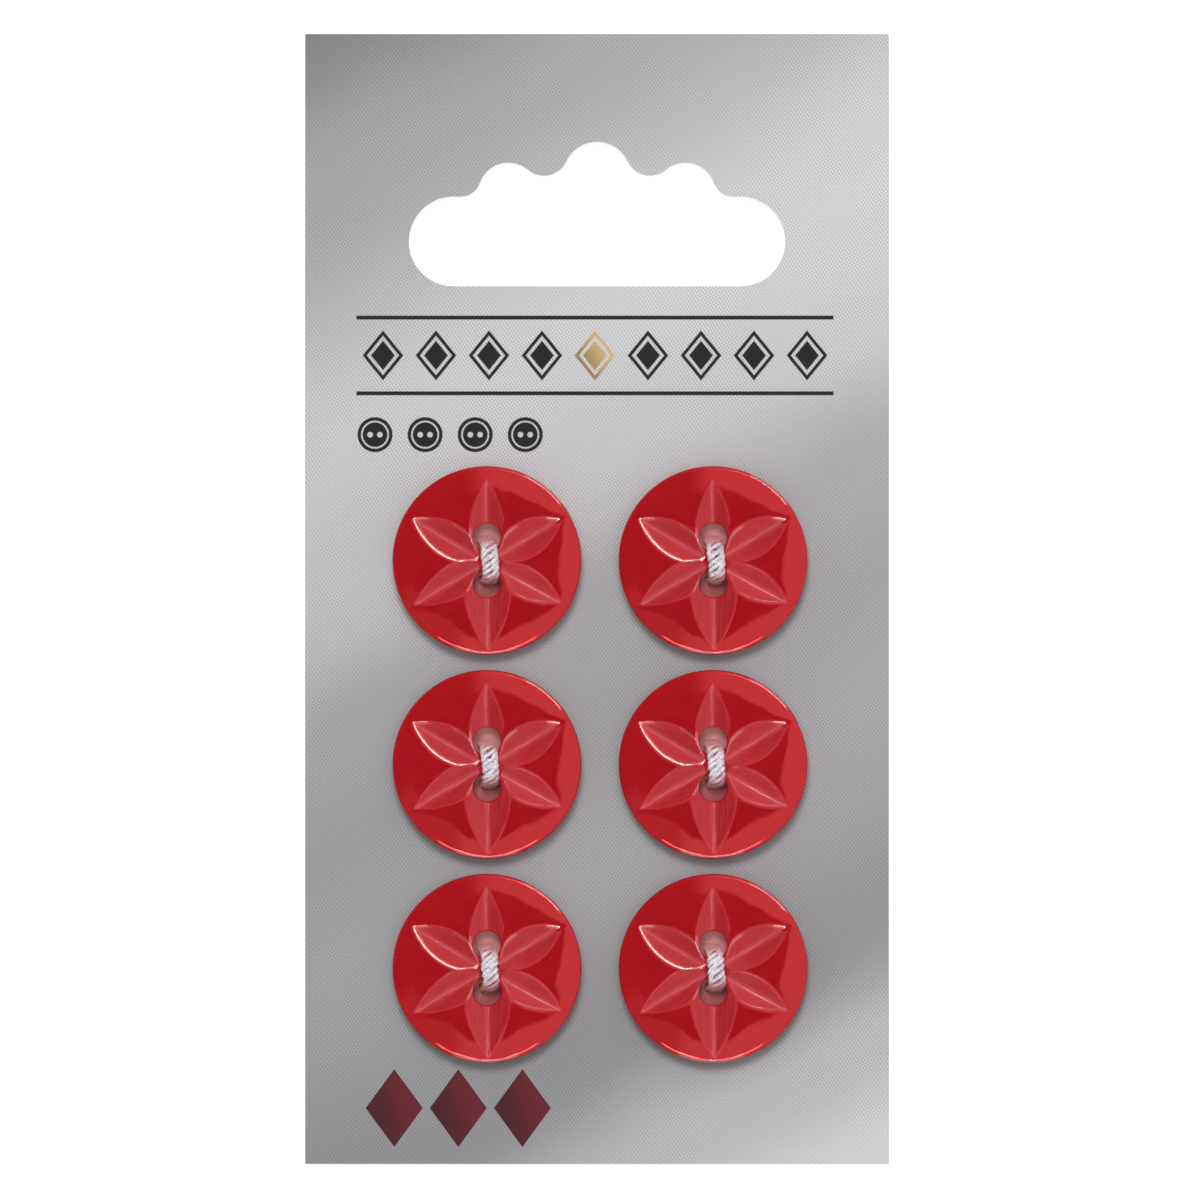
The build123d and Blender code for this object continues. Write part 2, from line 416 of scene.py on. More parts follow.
# Buttons: polished low dome with a star of six matt petals, cut by the edge of a wheel
buttonLook = {
    "domeRise": 0.45,
    "domeFoot": 7.9,
    "ripple": (0.0016, 0.0008),  # the polish leaves long and short waves this high
    # each petal: direction, where it is deepest, depth, radius of the cutting wheel, angle of its walls,
    # and how much of the shoulder's dip it has
    "petals": ((30.4, 4.55, 0.537, 13.1, 19.5, 1.0), (90.4, 2.59, 0.554, 34.4, 19.5, 0.2),
               (149.7, 4.36, 0.578, 15.3, 21.5, 1.0), (210.2, 3.79, 0.50, 25.2, 19.5, 1.0),
               (271.0, 3.15, 0.698, 25.6, 19.5, 0.7), (331.5, 4.58, 0.406, 17.8, 17.5, 1.0)),
    "wheelEdge": 0.035,
    "starDrop": 0.16,
    # where the petals' edges shine: direction, how far round, from and to that distance
    "polished": ((167, 15, 0, 8), (148, 4.5, 6.1, 8), (129, 12, 0, 4.1), (54, 12, 0, 3.8), (32, 4.5, 6.3, 8),
                 (240, 7, 0, 3.1)),
    "polishFade": 0.2,
    "rimShine": ((52, 14), (269, 20)),  # where the rim shines: direction, how far round
    "rimDullness": 0.4,
    "edgeSoftness": 0.015,  # wider makes broader bright lines along the star
    "polishSoftening": 1.6,
    # at plain and at polished edges: how far inside the petal its matt face begins, and how wide it fades in
    "mattStart": (-0.09, 0.08),
    "mattFade": (0.10, 0.045),
    "lacquerMiddle": 0.04,
    "lacquerReach": (0.06, 0.03),
    "cutLacquer": 0.09,
    "shoulderDepth": 0.03,
    "shoulderSpread": 0.3,
    "holeRadius": 1.2,
    "holeReach": 2.0,
    "holeCorners": 64,
    "lipRound": 0.12,
    "lipGaps": (0, 0.008, 0.03, 0.065, 0.12, 0.2, 0.3),
    "gridGap": 0.36,  # the star's own grid keeps this clear of the holes
    "rimRound": 0.26,
    "backRound": 0.4,
    "red": (0.45, 0.0083, 0.0138),
    "cloudScale": 0.7,
    "cloudRange": (0.94, 1.06),
    "cutRed": (0.385, 0.0072, 0.0125),
    "ribRed": (0.80, 0.20, 0.225),
    "streaks": (0.35, 9.0),  # how fine the scratches are along and across a petal
    "streakRange": (0.42, 0.66),
    "broadStreaks": (0.5, 2.2),
    "paleness": (0.075, 0.03),  # how much the fine and the broad ones whiten the petal
    "ribLines": (0.075, 0.07, 0.46),  # two lines at the bottom: distance, width and strength
    "ribHaze": (0.5, 0.20),
    "boreRed": (0.50, 0.10, 0.10),
    "sideRed": (0.30, 0.0045, 0.008),
    "polishRoughness": 0.035,
    "cutRoughness": 0.6,
    "scuffs": 0.12,
    "ior": 2.0,
    "lacquerRoughness": 0.04,
    "lacquerIor": 1.8,
    "shine": (1.0, 0.16, 0.165),
    "glow": 0.5,
    "glowReach": (0.8, 0.08, 0.08),
    "relief": (0.03, 0.6),
}
domeRadius = (buttonLook["domeFoot"] ** 2 + buttonLook["domeRise"] ** 2) / (2 * buttonLook["domeRise"])
holeMiddles = [(0.0, buttonLook["holeReach"]), (0.0, -buttonLook["holeReach"])]


def aroundTo(azimuth, angle, spread):  # 1 near a direction, 0 beyond the spread
    off = np.abs((azimuth - math.radians(angle) + math.pi) % (2 * math.pi) - math.pi)
    return softStep(off, math.radians(spread * 1.1), math.radians(spread * 0.9))


def fromHoles(x, y):  # distance to the middle of the nearer hole
    return min(math.hypot(x - a, y - b) for a, b in holeMiddles)


def holeTurns():
    return np.linspace(0, 2 * math.pi, buttonLook["holeCorners"] + 1)[:-1]


def polishAt(x, y):  # 1 where the petals' edges are polished
    look = buttonLook
    azimuth, far = np.arctan2(y, x), np.hypot(x, y)
    fade = look["polishFade"]
    shine = np.zeros_like(x)
    for angle, spread, inner, outer in look["polished"]:
        ring = softStep(far, inner - fade, inner + fade) * softStep(far, outer + fade, outer - fade)
        shine = np.maximum(shine, aroundTo(azimuth, angle, spread) * ring)
    return shine


def buttonFace(x, y, thickness):
    # height of the carved face, and what the finish needs to know there
    look = buttonLook

    def dome(distanceSquared):
        return thickness - domeRadius + np.sqrt(domeRadius ** 2 - distanceSquared)

    long, short = look["ripple"]
    level = dome(x * x + y * y)
    level = level + long * np.sin(1.1 * x + 0.6) * np.sin(0.9 * y - 0.4) + short * np.sin(2.3 * x - 1.7 * y)
    edge = look["wheelEdge"]
    grooves, alongs, asides = [], [], []
    for angle, middle, depth, wheel, wall, _ in look["petals"]:
        c, s = math.cos(math.radians(angle)), math.sin(math.radians(angle))
        along = x * c + (y + look["starDrop"]) * s
        aside = (y + look["starDrop"]) * c - x * s
        radius = wheel - (np.sqrt(aside ** 2 + edge ** 2) - edge) * math.tan(math.radians(wall))
        rise = wheel - np.sqrt(np.maximum(radius ** 2 - (along - middle) ** 2, 0.0))
        grooves.append(dome(middle ** 2) - depth + rise)
        alongs.append(along)
        asides.append(aside)
    grooves, alongs, asides = np.array(grooves), np.array(alongs), np.array(asides)
    deepest = grooves.min(0)
    share = np.array([petal[5] for petal in look["petals"]])[:, None]
    dip = (share * np.exp(-np.maximum(grooves - level, 0) / look["shoulderSpread"])).max(0)
    level = level - look["shoulderDepth"] * dip

    # the lowest of dome and grooves, with softened edges between them
    shine = polishAt(x, y)
    stack = np.vstack([level[None], grooves])
    soft = look["edgeSoftness"] * (1 + look["polishSoftening"] * shine)
    lowest = stack.min(0)
    height = lowest - soft * np.log(np.exp(-(stack - lowest) / soft).sum(0))
    order = np.sort(grooves, axis=0)
    margin = np.minimum(level - deepest, order[1] - order[0])
    matt = softStep((margin - mixed(look["mattStart"], shine)) / mixed(look["mattFade"], shine), 0, 1)
    line = shine * softStep(np.abs(margin - look["lacquerMiddle"]), *look["lacquerReach"])
    lacquer = np.maximum(line, look["cutLacquer"] * matt)
    petal = grooves.argmin(0)
    pick = np.arange(len(x))
    place = np.stack([alongs[petal, pick], asides[petal, pick], petal * 3.7], axis=1)
    return height, level - deepest, matt, place, lacquer


def starGrid(thickness, faceRadius):
    # rays from the middle of the star, close together along each petal's axis and each ridge
    look = buttonLook
    half = [0, 0.25, 0.6, 1.1, 1.8, 2.7, 3.9, 5.4, 7.2, 9.2, 11.4, 13.7, 16.0, 18.3, 20.5, 22.5, 24.3,
            25.9, 27.2, 28.2, 28.9, 29.4, 29.75]
    turns = []
    axes = [petal[0] for petal in look["petals"]]
    for angle, following in zip(axes, axes[1:] + [axes[0] + 360]):
        share = (following - angle) / 60
        turns += [angle + a * share for a in half] + [following - a * share for a in [30] + half[:0:-1]]
    turns = np.radians(sorted(set(round(t % 360, 4) for t in turns)))
    way = np.stack([np.cos(turns), np.sin(turns)])
    rise = look["starDrop"]
    reach = rise * way[1] + np.sqrt(faceRadius ** 2 - rise ** 2 + (rise * way[1]) ** 2)

    # where each ray meets the star's outline, found by halving between a near and a far distance
    low, high = np.full(len(turns), 2.0), reach - 0.02
    for _ in range(30):
        middle = (low + high) / 2
        inside = buttonFace(way[0] * middle, way[1] * middle - rise, thickness)[1] > 0
        low, high = np.where(inside, middle, low), np.where(inside, high, middle)
    edge = (low + high) / 2

    # rows lie closest together beside that outline
    steps = (0.04, 0.085, 0.145, 0.22)
    inset, outset = 0.32, 0.46
    room = np.minimum(1.0, (reach - edge) / 0.8)
    rows = [f * (edge - inset) for f in np.linspace(0.03, 1, 27)]
    rows += [edge - a for a in reversed(steps)] + [edge]
    rows += [edge + a * room for a in (*steps, inset, outset)]
    start = edge + outset * room
    rows += [start + (reach - start) * f for f in np.linspace(0, 1, 15)[1:]]
    rows = np.array(rows)
    return rows * way[0], rows * way[1] - rise


def faceOutline(gx, gy):
    # places and edges of the carved face: the star's grid, and rings round both holes
    look = buttonLook
    corners = look["holeCorners"]
    rowCount, turnCount = gx.shape
    flat, edges, lips = [(0.0, -look["starDrop"])], [], []
    index = -np.ones(gx.shape, int)
    for i in range(rowCount):
        for j in range(turnCount):
            if fromHoles(gx[i, j], gy[i, j]) > look["holeRadius"] + look["gridGap"]:
                index[i, j] = len(flat)
                flat.append((gx[i, j], gy[i, j]))
    for i in range(rowCount):
        for j in range(turnCount):
            here, beside = index[i, j], index[i, (j + 1) % turnCount]
            if here < 0:
                continue
            if beside >= 0:
                edges.append((here, beside))
            if i + 1 < rowCount and index[i + 1, j] >= 0:
                edges.append((here, index[i + 1, j]))
    for a, b in holeMiddles:
        for gap in look["lipGaps"]:
            first, r = len(flat), look["holeRadius"] + gap
            if gap == 0:
                lips.append(range(first, first + corners))
            flat += [(a + r * math.cos(t), b + r * math.sin(t)) for t in holeTurns()]
            edges += [(first + k, first + (k + 1) % corners) for k in range(corners)]
    return flat, edges, index, lips


class Shell:
    # points and faces of the button, and marks that its finish reads at each point
    def __init__(self, points, faces, marks):
        self.points, self.faces, self.marks = points, faces, marks

    def addRing(self, ring, **values):  # marks that aren't named are 0 there
        first = len(self.points)
        self.points += [list(point) for point in ring]
        for name, numbers in self.marks.items():
            shape = (len(ring), 3) if name == "petalPlace" else (len(ring),)
            numbers += np.broadcast_to(values.get(name, 0.0), shape).tolist()
        return list(range(first, first + len(ring)))

    def join(self, one, two, outward):
        for k in range(len(one)):
            a, b, c, d = one[k], one[(k + 1) % len(one)], two[(k + 1) % len(one)], two[k]
            self.faces.append((a, d, c, b) if outward else (a, b, c, d))


def carvedFace(flat, edges, thickness):
    # the face as a shell, with where each planned place ended up in it
    look = buttonLook
    vertices, _, faces, origins, _, _ = delaunay_2d_cdt(flat, edges, [], 1, 1e-5)
    vertices = np.array([tuple(v) for v in vertices])
    where = {source: k for k, sources in enumerate(origins) for source in sources}
    keep = [tuple(face) for face in faces
            if fromHoles(*vertices[list(face)].mean(0)) > look["holeRadius"] * 0.999]
    x, y = vertices[:, 0], vertices[:, 1]
    z, _, matt, place, lacquer = buttonFace(x, y, thickness)
    gap = np.minimum(*[np.hypot(x - a, y - b) for a, b in holeMiddles]) - look["holeRadius"]
    lip = look["lipRound"]
    near = np.clip(lip - gap, 0, lip)
    z = z - (lip - np.sqrt(np.maximum(lip ** 2 - near ** 2, 0)))
    matt = (matt * softStep(gap, 0.06, 0.14)).tolist()
    marks = {"cut": matt, "dull": list(matt), "lacquer": lacquer.tolist(), "petalPlace": place.tolist(),
             "bore": [0.0] * len(x), "side": [0.0] * len(x)}
    return Shell(np.column_stack([x, y, z]).tolist(), keep, marks), where


def addSide(shell, last, radius):
    # from the edge of the face over the rounded rim, down the side and round the edge of the back
    look = buttonLook
    rimSteps, polishedSteps = 7, 5
    back = look["backRound"]
    lean = math.atan(look["domeFoot"] / domeRadius)
    bend = look["rimRound"] / (1 - math.sin(lean))
    bendR, bendZ = radius - bend, np.mean([shell.points[k][2] for k in last]) - bend * math.cos(lean)
    profile = [(bendR + bend * math.sin(t), bendZ + bend * math.cos(t))
               for t in np.linspace(lean, math.pi / 2, rimSteps + 1)[1:]]
    profile += [(radius, bendZ * 0.6 + back * 0.4), (radius, back)]
    profile += [(radius - back + back * math.cos(t), back - back * math.sin(t))
                for t in np.linspace(0, math.pi / 2, 7)[1:]]
    azimuth = np.array([math.atan2(shell.points[k][1], shell.points[k][0]) for k in last])
    shine = np.maximum(*[aroundTo(azimuth, *part) for part in look["rimShine"]])
    for number, (r, level) in enumerate(profile):
        ring = shell.addRing([(r * math.cos(t), r * math.sin(t), level) for t in azimuth],
                             side=float(number >= rimSteps), lacquer=shine * (number < polishedSteps),
                             dull=(1 - shine) * look["rimDullness"] * (number < rimSteps))
        shell.join(last, ring, True)
        last = ring
    return last


def addBore(shell, hole, last):
    # from the lip down to the eased edge at the back
    look = buttonLook
    ease = look["lipRound"]
    a, b = hole
    top = np.array([shell.points[k][2] for k in last])
    bore = [(look["holeRadius"], top * (1 - f) + ease * f) for f in (0.03, 0.25, 0.5, 0.75, 1.0)]
    bore += [(look["holeRadius"] + ease * (1 - math.cos(t)), np.full(len(last), ease * (1 - math.sin(t))))
             for t in (math.pi / 8, math.pi / 4, 3 * math.pi / 8, math.pi / 2)]
    for r, level in bore:
        places = [(a + r * math.cos(t), b + r * math.sin(t), h) for t, h in zip(holeTurns(), level)]
        ring = shell.addRing(places, bore=1.0, dull=1.0)
        shell.join(last, ring, False)
        last = ring
    return last


def closeBack(shell, loops):
    flat, edges, names = [], [], []
    for loop in loops:
        first = len(flat)
        flat += [tuple(shell.points[k][:2]) for k in loop]
        names += loop
        edges += [(first + k, first + (k + 1) % len(loop)) for k in range(len(loop))]
    _, _, faces, origins, _, _ = delaunay_2d_cdt(flat, edges, [], 1, 1e-6)
    for face in faces:
        corners = [names[origins[k][0]] for k in face]
        middle = np.mean([shell.points[k][:2] for k in corners], axis=0)
        if fromHoles(*middle) > buttonLook["holeRadius"] + 0.1:
            shell.faces.append(tuple(reversed(corners)))


def buttonMesh(thickness, radius):
    gx, gy = starGrid(thickness, radius - buttonLook["rimRound"])
    flat, edges, index, lips = faceOutline(gx, gy)
    shell, where = carvedFace(flat, edges, thickness)
    loops = [addSide(shell, [where[k] for k in index[-1]], radius)]
    for hole, lip in zip(holeMiddles, lips):
        loops.append(addBore(shell, hole, [where[k] for k in lip]))
    closeBack(shell, loops)
    marks = {name: np.array(numbers) for name, numbers in shell.marks.items()}
    return np.array(shell.points), shell.faces, marks


def buttonMaterial():
    look = buttonLook
    material = bpy.data.materials.new("red_resin")
    g = Graph(material)
    cut = g.mark("cut")
    along, aside, seed = g.axes(g.add("Attribute", out=1, attribute_name="petalPlace"))

    def alongPetal(fineAlong, fineAcross):
        parts = [g.calc("MULTIPLY", along, fineAlong), g.calc("MULTIPLY", aside, fineAcross), seed]
        return g.add("CombineXYZ", dict(enumerate(parts)))

    # fine scratches along the petals, and a pale rib at the bottom of each
    streaks = g.noise(alongPetal(*look["streaks"]), 1.0, 3.0, 0.65)
    broad = g.noise(alongPetal(*look["broadStreaks"]), 1.0, 2.0)
    fine = g.step(streaks, *look["streakRange"])
    off = g.calc("ABSOLUTE", aside)
    ribReach, ribWidth, ribStrength = look["ribLines"]
    hazeWidth, hazeStrength = look["ribHaze"]
    lines = g.step(g.calc("ABSOLUTE", g.calc("SUBTRACT", off, ribReach)), ribWidth, 0.0)
    haze = g.calc("MULTIPLY", g.step(off, hazeWidth, 0.0), hazeStrength)
    rib = g.calc("MULTIPLY_ADD", lines, ribStrength, haze)
    rib = g.calc("MULTIPLY", rib, g.calc("MULTIPLY_ADD", fine, 0.6, 0.5))
    broadPale = g.calc("MULTIPLY", g.step(broad, 0.4, 0.65), look["paleness"][1])
    pale = g.calc("MULTIPLY_ADD", fine, look["paleness"][0], broadPale)
    cutColour = g.blend(g.calc("ADD", pale, rib), look["cutRed"], look["ribRed"])
    cloud = g.noise(g.place(), look["cloudScale"], 3.0)
    body = g.blend(cloud, *[times(look["red"], share) for share in look["cloudRange"]])
    colour = g.blend(cut, body, cutColour)
    colour = g.blend(g.mark("bore"), colour, look["boreRed"])
    colour = g.blend(g.mark("side"), colour, look["sideRed"])
    scuffed = g.calc("MULTIPLY_ADD", fine, look["scuffs"], look["cutRoughness"] - look["scuffs"] / 2)
    rough = g.add("Mix", {0: g.mark("dull"), 2: look["polishRoughness"], 3: scuffed})
    g.finish(colour, rough, g.calc("MULTIPLY", streaks, cut), look["relief"], {
        "IOR": look["ior"],
        "Specular Tint": look["shine"],
        "Coat Weight": g.mark("lacquer"),
        "Coat Roughness": look["lacquerRoughness"],
        "Coat IOR": look["lacquerIor"],
        "Subsurface Weight": look["glow"],
        "Subsurface Radius": look["glowReach"],
        "Subsurface Scale": mm,
    })
    return material


low, high = boxOf("button_top_left")
points, faces, marks = buttonMesh(high[2] - low[2], (high[0] - low[0]) / 2)
resin = buttonMaterial()
for placeName in placeNames:
    low, high = boxOf("button_" + placeName)
    middle = np.array([(low[0] + high[0]) / 2, (low[1] + high[1]) / 2, low[2]])
    piece = meshPiece("star_button_" + placeName, points + middle, faces, resin, marks)
    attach(piece, "root")
    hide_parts("button_" + placeName)
print("buttons cut,", len(faces), "faces each")


# Thread: the doubled yarn lies as one flat cord of six plies, and is wound into a knot behind the card
threadLook = {
    "turn": 4.5,
    "slack": 0.27,  # how far to the right the cord lies over the bridge
    "holeReach": 1.74,
    "cordReach": (0.55, 0.17),  # half the cord's width and height, up to the middles of its plies
    "cordPitch": 2.7,
    "cordPlies": 6,
    "plyRadius": 0.19,
    "plySides": 10,
    "plyWander": 0.5,
    "bulges": (0.09, 0.13),  # round each ply and along it, as shares of its radius
    "snake": 0.015,
    "hairs": 170,
    "hairLength": (0.25, 0.5),
    "hairRadius": 0.012,
    "slitReach": 1.72,
    "wad": (0.745, 0.44),  # half the width and height of the yarn where it fills a slit
    "wadCorners": 28,
    "wadRoundness": 0.12,
    "knotPlies": 3,
    "knotPitch": 1.5,
    "knotTurns": 2.6,
    "knotHalf": 0.68,
    "endTurn": 28,
    "endReach": 2.56,
    "endTaper": 0.35,
    "endHairs": 14,
    "endHairLength": (0.12, 0.2),
    "white": (0.93, 0.89, 0.93),
    "shadeWhite": (0.52, 0.42, 0.49),
    # painted red light and shade of the button on the yarn in its holes, and painted red light where it
    # passes the card
    "holeRed": (0.66, 0.25, 0.26),
    "holeRedShare": 0.9,
    "floorRed": ((0.50, 0.16, 0.16), (0.68, 0.29, 0.275)),  # where it passes the card, lower and upper hole
    "roughness": 0.72,
    "fluffRoughness": 0.15,
    "fibres": (2.2, 14.0),  # how fine the fibres are along and round a ply
    "fluffScale": 4.0,
    "paintedTuftScale": 4.2,
    "relief": (0.08, 0.75),
    "sheen": 0.25,
    "specular": 0.3,
}


def smoothPath(points, spacing):
    # Catmull-Rom curve through the points, cut into even steps
    points = np.array(points, float)
    padded = np.vstack([2 * points[0] - points[1], points, 2 * points[-1] - points[-2]])
    fine = []
    for k in range(1, len(padded) - 2):
        a, b, c, d = padded[k - 1:k + 3]
        for t in np.linspace(0, 1, 24, endpoint=False):
            square, cube = t * t, t * t * t
            first = 2 * b + (c - a) * t
            fine.append(0.5 * (first + (2 * a - 5 * b + 4 * c - d) * square + (3 * b - a - 3 * c + d) * cube))
    fine.append(padded[-2])
    fine = np.array(fine)
    length = np.concatenate([[0], np.cumsum(np.linalg.norm(np.diff(fine, axis=0), axis=1))])
    at = np.linspace(0, length[-1], max(4, int(length[-1] / spacing)))
    return np.stack([np.interp(at, length, fine[:, k]) for k in range(3)], axis=1), at


def crossways(path):
    # two directions square to the path, carried along it without twist
    tangent = np.gradient(path, axis=0)
    tangent /= np.linalg.norm(tangent, axis=1)[:, None]
    side = np.cross(tangent[0], [0.0, 0.3, 1.0])
    sides = []
    for way in tangent:
        side = side - way * side.dot(way)
        side /= np.linalg.norm(side)
        sides.append(side)
    sides = np.array(sides)
    return tangent, sides, np.cross(tangent, sides)


def twistedCord(path, at, reach, plies, pitch, phase, taper=0.0):
    # every ply is a tube round its own winding path; reach is half the width and height to the plies' middles
    look = threadLook
    sides = look["plySides"]
    _, across, up = crossways(path)
    points, faces, yarn = [], [], []
    close = np.ones(len(at))
    if taper:
        close = np.minimum(1.0, 0.4 + (at[-1] - at) / taper)
    for ply in range(plies):
        spin = 2 * math.pi * (at / pitch + ply / plies) + phase
        spin = spin + look["plyWander"] * np.sin(2.9 * at + 2.3 * ply + phase)
        c, s = np.cos(spin)[:, None], np.sin(spin)[:, None]
        middle = path + close[:, None] * (reach[0] * c * across + reach[1] * s * up)
        outward = c / reach[0] * across + s / reach[1] * up
        outward /= np.linalg.norm(outward, axis=1)[:, None]
        _, tubeAcross, tubeUp = crossways(middle)
        first = len(points)
        for k in range(len(at)):
            for j in range(sides):
                angle = 2 * math.pi * j / sides
                bulge = look["bulges"][0] * math.sin(3 * angle + 5.3 * at[k] + 2 * ply + phase)
                bulge += look["bulges"][1] * math.sin(9.7 * at[k] + 3.1 * ply + phase)
                r = look["plyRadius"] * close[k] * (1 + bulge)
                way = math.cos(angle) * tubeAcross[k] + math.sin(angle) * tubeUp[k]
                points.append(middle[k] + r * way)
                # the last number tells a ply's outer side from its inner side, where the finish paints shade
                yarn.append((at[k], j / sides + 1.7 * ply + 0.35 * at[k], 0.5 + 0.5 * way.dot(outward[k])))
        for k in range(len(at) - 1):
            for j in range(sides):
                a, b = first + k * sides + j, first + k * sides + (j + 1) % sides
                faces.append((a, b, b + sides, a + sides))
        faces.append(tuple(first + j for j in reversed(range(sides))))
        faces.append(tuple(first + (len(at) - 1) * sides + j for j in range(sides)))
    return points, faces, yarn


def slitWad(middle, bottom, top):
    # the yarn swells where it passes the card, and covers the slit's edge
    count, power = threadLook["wadCorners"], threadLook["wadRoundness"]
    halfWidth, halfHeight = threadLook["wad"]
    points, faces = [], []
    rings = ((bottom, 0.86), (bottom + 0.06, 1.0), (top - 0.1, 1.0), (top + 0.004, 1.0), (top + 0.005, 1.1),
             (top + 0.008, 1.1), (top + 0.01, 1.08), (top + 0.01, 1.0))
    for level, share in rings:
        for j in range(count):
            c, s = math.cos(2 * math.pi * j / count), math.sin(2 * math.pi * j / count)
            x = middle[0] + halfWidth * share * math.copysign(abs(c) ** power, c)
            y = middle[1] + halfHeight * share * math.copysign(abs(s) ** power, s)
            points.append(np.array([x, y, level]))
    for k in range(len(rings) - 1):
        for j in range(count):
            a, b = k * count + j, k * count + (j + 1) % count
            faces.append((a, b, b + count, a + count))
    faces += [tuple(reversed(range(count))), tuple(len(points) - count + j for j in range(count))]
    return points, faces, [(p[0], math.copysign(1, middle[1]), -1.0) for p in points]


def hair(start, way, out, lengths, rng):
    # thin three-sided tube that rises, bends and tapers
    length = rng.uniform(*lengths)
    bend = np.array([rng.uniform(-1, 1) for _ in range(3)]) * 0.28
    side = np.cross(way, out)
    points, faces = [], []
    for k in range(5):
        t = k / 4
        centre = start + way * length * t + out * length * (0.45 * t - 0.4 * t * t) + bend * length * t * t
        r = threadLook["hairRadius"] * (1 - 0.7 * t)
        for j in range(3):
            angle = 2 * math.pi * j / 3
            points.append(centre + r * (math.cos(angle) * side + math.sin(angle) * out))
        if k:
            for j in range(3):
                n = (j + 1) % 3
                faces.append((3 * k - 3 + j, 3 * k - 3 + n, 3 * k + n, 3 * k + j))
    faces += [(2, 1, 0), (12, 13, 14)]
    return points, faces, [(0.0, 0.0, 0.9)] * 15


def stitchHairs(path, rng):
    # loose hairs on the part of the cord that is seen from the front
    look = threadLook
    width, height = look["cordReach"]
    tangent, across, up = crossways(path)
    for _ in range(look["hairs"]):
        k = rng.randrange(int(len(path) * 0.32), int(len(path) * 0.68))
        angle = rng.uniform(0, 2 * math.pi)
        out = math.cos(angle) / width * across[k] + math.sin(angle) / height * up[k]
        out /= np.linalg.norm(out)
        if out[2] < -0.3:
            continue
        start = path[k] + width * math.cos(angle) * across[k] + height * math.sin(angle) * up[k]
        direction = tangent[k] * rng.choice((-1, 1)) + 0.8 * rng.uniform(-1, 1) * np.cross(tangent[k], out)
        direction /= np.linalg.norm(direction)
        yield hair(start + out * look["plyRadius"] * 0.9, direction, out, look["hairLength"], rng)


def knotParts(knotMiddle, coil, under, rng):
    # the doubled thread wound round itself, with two trimmed ends
    look = threadLook
    height, half = look["cordReach"][1], look["knotHalf"]
    route = []
    for t in np.linspace(0, 1, 22):
        angle = 2 * math.pi * look["knotTurns"] * t + 0.4
        route.append((-half + 2 * half * t, coil * math.cos(angle), knotMiddle + coil * math.sin(angle)))
    path, at = smoothPath(route, 0.1)
    yield twistedCord(path, at, (height, height), look["knotPlies"], look["knotPitch"], 0.4)
    turn = math.radians(look["endTurn"])
    for side in (-1, 1):
        out = np.array([side * math.cos(turn), side * math.sin(turn), 0])
        start = np.array([side * 0.45, side * 0.1, knotMiddle])
        tip = (*(out[:2] * look["endReach"]), under - 0.03)
        route = [start, start + out * 0.5, (*(out[:2] * 1.5), under), tip]
        path, at = smoothPath(route, 0.1)
        yield twistedCord(path, at, (height, height), look["knotPlies"], look["knotPitch"], 1.0 + side,
                          look["endTaper"])
        for _ in range(look["endHairs"]):
            angle = rng.uniform(0, 2 * math.pi)
            over = np.array([-out[1], out[0], 0]) * math.cos(angle) + np.array([0, 0, 0.7]) * math.sin(angle)
            root = path[-3] + over * (height + look["plyRadius"]) * 0.55
            yield hair(root, out, over, look["endHairLength"], rng)


def threadMesh(bottom, top, cardBack, cardFront, seed):
    # around the button's middle, before the small turn, heights from the knot up
    look = threadLook
    rng = random.Random(seed)
    r = look["cordReach"][1] + look["plyRadius"]
    reach, slack = look["holeReach"], look["slack"]
    crest = top - r - 0.01
    under = cardBack - 0.04 - r
    knotHalfHeight = (cardBack - 0.03 - bottom) / 2
    half = [(slack, 0.62, crest - 0.03), (slack, 1.08, crest - 0.24), (slack * 0.8, 1.44, crest - 0.70),
            (slack * 0.5, 1.66, crest - 1.35), (0, reach, cardBack + 0.75), (0, reach, under + 0.32),
            (0, 1.25, under), (0, 0.15, under)]
    route = half[::-1] + [(slack, 0.0, crest)] + [(a, -b, c) for a, b, c in half]
    path, at = smoothPath(route, 0.08)
    path[:, 0] += look["snake"] * np.sin(2.1 * at + seed)
    parts = [twistedCord(path, at, look["cordReach"], look["cordPlies"], look["cordPitch"], 0.7 * seed)]
    parts += stitchHairs(path, rng)
    parts += [slitWad((0, side * look["slitReach"]), cardBack - 0.02, cardFront) for side in (-1, 1)]
    parts += knotParts(knotHalfHeight + bottom, knotHalfHeight - r - 0.01, under, rng)

    points, faces, yarn = [], [], []
    for partPoints, partFaces, partYarn in parts:
        first = len(points)
        points.extend(partPoints)
        faces.extend(tuple(first + k for k in face) for face in partFaces)
        yarn.extend(partYarn)
    turn = math.radians(look["turn"])
    points = np.array(points)
    spun = points.copy()
    spun[:, 0] = points[:, 0] * math.cos(turn) - points[:, 1] * math.sin(turn)
    spun[:, 1] = points[:, 0] * math.sin(turn) + points[:, 1] * math.cos(turn)
    return spun, faces, np.array(yarn, float)


